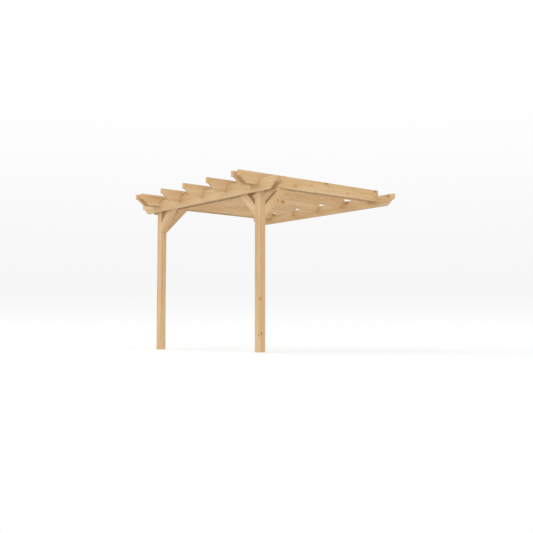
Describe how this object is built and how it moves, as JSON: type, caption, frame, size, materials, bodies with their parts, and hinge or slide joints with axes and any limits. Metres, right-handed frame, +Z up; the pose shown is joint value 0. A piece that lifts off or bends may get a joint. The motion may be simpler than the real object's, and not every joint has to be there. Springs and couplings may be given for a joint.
{
  "type": "attached patio cover",
  "caption": "Flat open timber cover fixed to a wall: rafters with shaped ends span from a wall plate to a front beam on two posts with knee braces.",
  "frame": {"origin": "on the back face of the wall plate, where it meets the wall, at mid-depth and midway between the posts", "axes": "+X along the wall to the right as seen from the front, +Y into the wall, +Z up"},
  "size_m": [3.23, 2.575, 2.335],
  "materials": {
    "timber": "planed",
    "fixings": "zinc plated"
  },
  "bodies": {
    "root": {"left_post": "timber", "right_post": "timber", "front_beam": "timber", "wall_plate": "timber", "rafter_1": "timber", "rafter_2": "timber", "rafter_3": "timber", "rafter_4": "timber", "rafter_5": "timber", "rafter_6": "timber", "rafter_7": "timber", "left_beam_brace": "timber", "right_beam_brace": "timber", "left_rafter_brace": "timber", "right_rafter_brace": "timber"}
  },
  "joints": []
}
